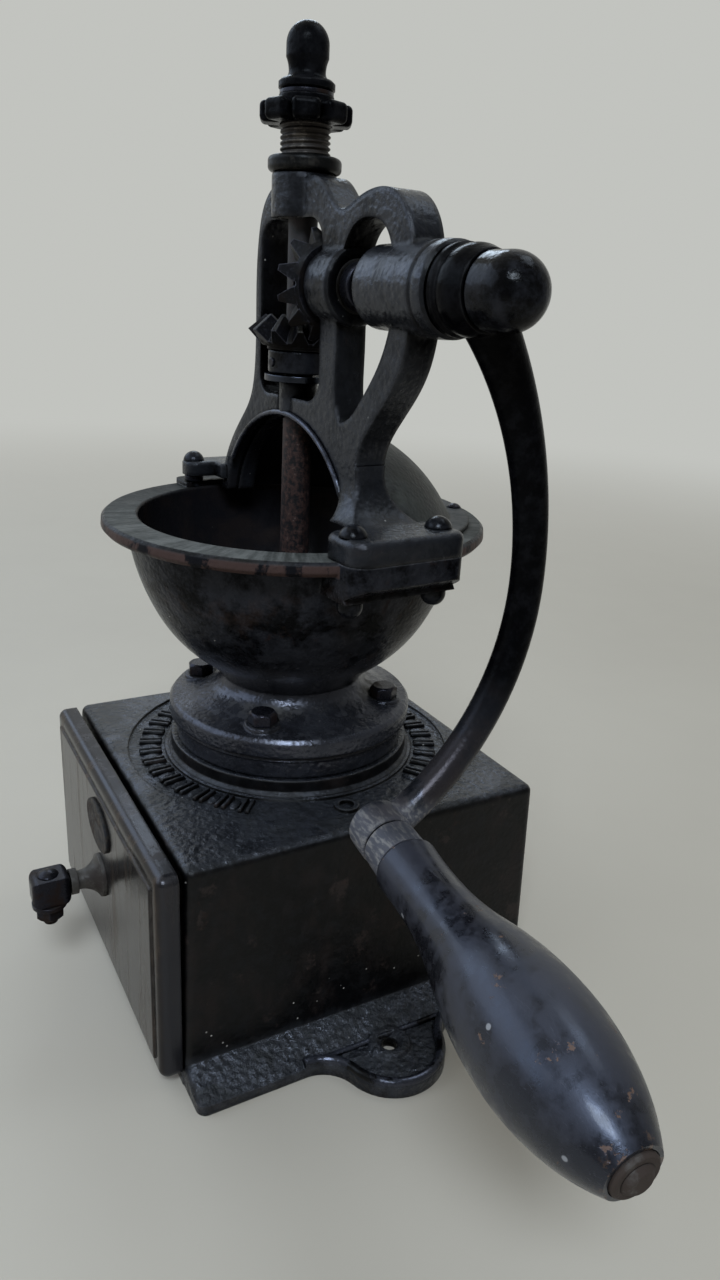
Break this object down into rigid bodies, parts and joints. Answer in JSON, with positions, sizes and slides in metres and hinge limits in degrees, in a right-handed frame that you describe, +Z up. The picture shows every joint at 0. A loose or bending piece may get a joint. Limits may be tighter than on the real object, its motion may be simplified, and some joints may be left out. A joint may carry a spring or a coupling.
{
  "type": "manual coffee grinder",
  "caption": "Cast iron coffee grinder with an open hopper bowl, an arch with bevel gears, a side crank with a turned grip, and a box base with a drawer.",
  "frame": {"origin": "on the underside of the foot, straight under the vertical shaft", "axes": "+Z up along the vertical shaft, -Y towards the drawer front, +X towards the crank"},
  "size_m": [0.3262, 0.1923, 0.3412],
  "materials": {
    "cast_black": "rough black painted and oiled cast iron, dusty in the recesses",
    "steel_dark": "dark oiled steel",
    "steel_worn": "worn bare steel",
    "rust_steel": "rusty brown steel",
    "gear_iron": "worn grey cast iron teeth",
    "drawer_black": "glossy black paint",
    "cover_grey": "greenish grey dusty sheet iron",
    "plate_dark": "dull dark painted plate",
    "grip_wood": "black lacquered turned wood",
    "tray_tin": "plain tinned sheet",
    "bush_brass": "dull brass"
  },
  "bodies": {
    "base": {"base_housing": "cast_black", "hopper": "cast_black", "hopper_screws": "steel_dark", "half_cover": "cover_grey", "cover_screws": "steel_dark", "arch_frame": "cast_black", "arch_foot_bolts": "steel_dark", "arch_foot_nuts": "steel_dark", "foot_spacers": "steel_dark", "lower_bush": "bush_brass", "inner_bush": "bush_brass", "outer_bush": "bush_brass", "threaded_neck": "steel_worn", "lock_collar": "steel_dark", "shaft_washer": "steel_dark", "burr_ring": "gear_iron", "ring_dowels": "steel_dark"},
    "drawer": {"drawer_front": "drawer_black", "drawer_tray": "tray_tin", "drawer_rivets": "steel_dark", "oval_plate": "plate_dark", "pull_stem": "steel_dark", "pull_back_nut": "steel_dark", "pull_block": "steel_dark", "pull_bolt": "steel_dark", "pull_washer": "steel_dark", "pull_nut": "steel_dark"},
    "lift": {"thrust_ring": "steel_worn"},
    "star": {"star_nut": "steel_dark"},
    "shaft": {"main_shaft": "rust_steel", "wheel_collar": "steel_dark", "wheel_pin": "steel_dark", "bevel_wheel": "gear_iron", "grinding_cone": "gear_iron", "cone_nut": "steel_dark", "finial_nut": "steel_dark"},
    "crank": {"crankshaft": "steel_worn", "bevel_pinion": "gear_iron", "pinion_pin": "steel_dark", "crankshaft_collar": "steel_dark", "crank_arm": "cast_black", "crank_cap": "steel_dark", "handle_spindle": "steel_dark", "end_washer": "steel_worn"},
    "handle": {"grip": "grip_wood", "grip_ferrule": "steel_dark"}
  },
  "joints": [
    {"name": "crank_turn", "type": "hinge", "parent": "base", "child": "crank", "pos_m": [0, 0, 0.262], "axis": [0.9966, 0.0819, 0], "continuous": true},
    {"name": "adjust_turn", "type": "hinge", "parent": "lift", "child": "star", "pos_m": [0, 0, 0.316], "axis": [0, 0, 1], "range_deg": [-80, 80]},
    {"name": "shaft_lift", "type": "slide", "parent": "base", "child": "lift", "axis": [0, 0, 1], "range_m": [-0.000388, 0.000388]},
    {"name": "shaft_turn", "type": "hinge", "parent": "lift", "child": "shaft", "pos_m": [0, 0, 0.262], "axis": [0, 0, 1], "continuous": true},
    {"name": "drawer_slide", "type": "slide", "parent": "base", "child": "drawer", "axis": [0, -1, 0], "range_m": [0, 0.11]},
    {"name": "grip_turn", "type": "hinge", "parent": "crank", "child": "handle", "pos_m": [0.09424, -0.01122, 0.0976], "axis": [0.9938, -0.0719, -0.0845], "continuous": true}
  ],
  "couplings": [
    {"joint": "shaft_turn", "follows": "crank_turn", "ratio": 1},
    {"joint": "adjust_turn", "follows": "shaft_lift", "rad_per_m": 3590.4}
  ]
}
